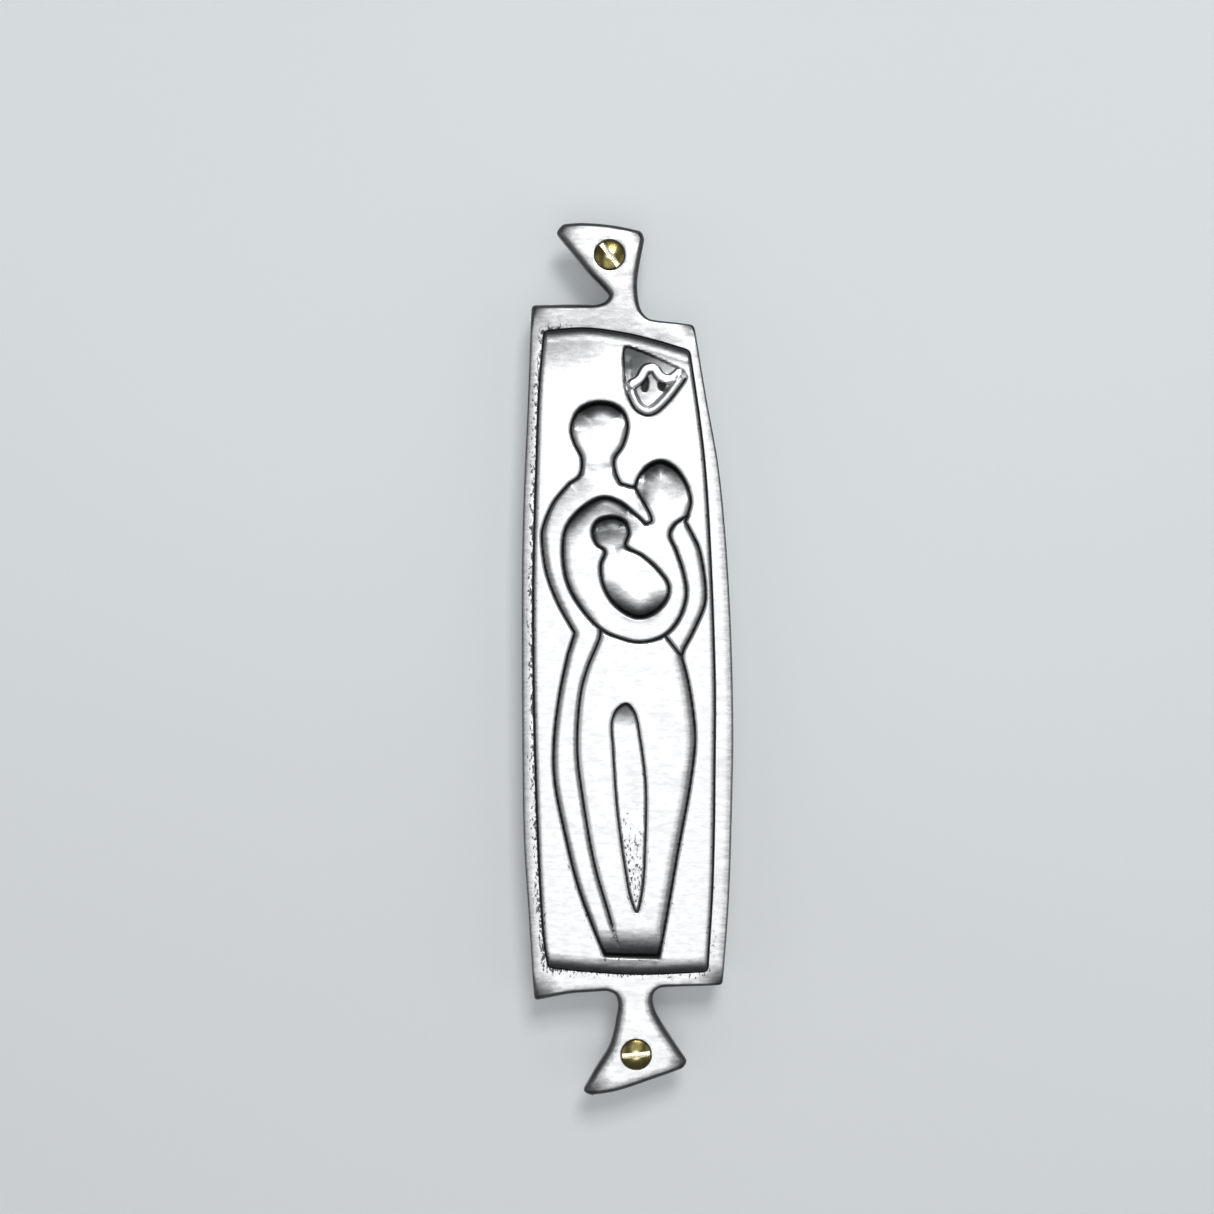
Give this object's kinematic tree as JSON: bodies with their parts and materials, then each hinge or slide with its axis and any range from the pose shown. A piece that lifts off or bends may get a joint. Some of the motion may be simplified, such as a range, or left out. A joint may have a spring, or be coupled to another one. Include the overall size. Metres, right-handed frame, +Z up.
{
  "type": "mezuzah case",
  "caption": "Upright cast metal mezuzah case with a family in relief, flared screw tabs at both ends, a push-in back plate and a rolled scroll in a clear sleeve.",
  "frame": {"origin": "centre of the back plate's outer face, which lies on the doorpost", "axes": "+Z up the doorpost along the case, +Y into the doorpost, so the relief faces -Y, and +X to the viewer's right"},
  "size_m": [0.0401, 0.0223, 0.1656],
  "materials": {
    "cast_aluminium": "brushed satin, dark in the creases",
    "sheet_aluminium": "mill",
    "clear_plastic": "clear",
    "parchment": "matte",
    "brass": "tarnished"
  },
  "bodies": {
    "casting": {"case_casting": "cast_aluminium"},
    "plate": {"back_plate": "sheet_aluminium"},
    "scroll": {"scroll_parchment": "parchment", "scroll_sleeve": "clear_plastic"},
    "upper_screw": {"top_screw": "brass"},
    "lower_screw": {"bottom_screw": "brass"}
  },
  "joints": [
    {"name": "top_screw_out", "type": "slide", "parent": "casting", "child": "upper_screw", "axis": [0, -1, 0], "range_m": [0, 0.022]},
    {"name": "bottom_screw_out", "type": "slide", "parent": "casting", "child": "lower_screw", "axis": [0, -1, 0], "range_m": [0, 0.022]},
    {"name": "back_plate_off", "type": "slide", "parent": "casting", "child": "plate", "axis": [0, 1, 0], "range_m": [0, 0.03]},
    {"name": "scroll_out", "type": "slide", "parent": "casting", "child": "scroll", "axis": [0, 1, 0], "range_m": [0, 0.015]}
  ],
  "couplings": [
    {"joint": "scroll_out", "follows": "back_plate_off", "ratio": 0.5}
  ]
}
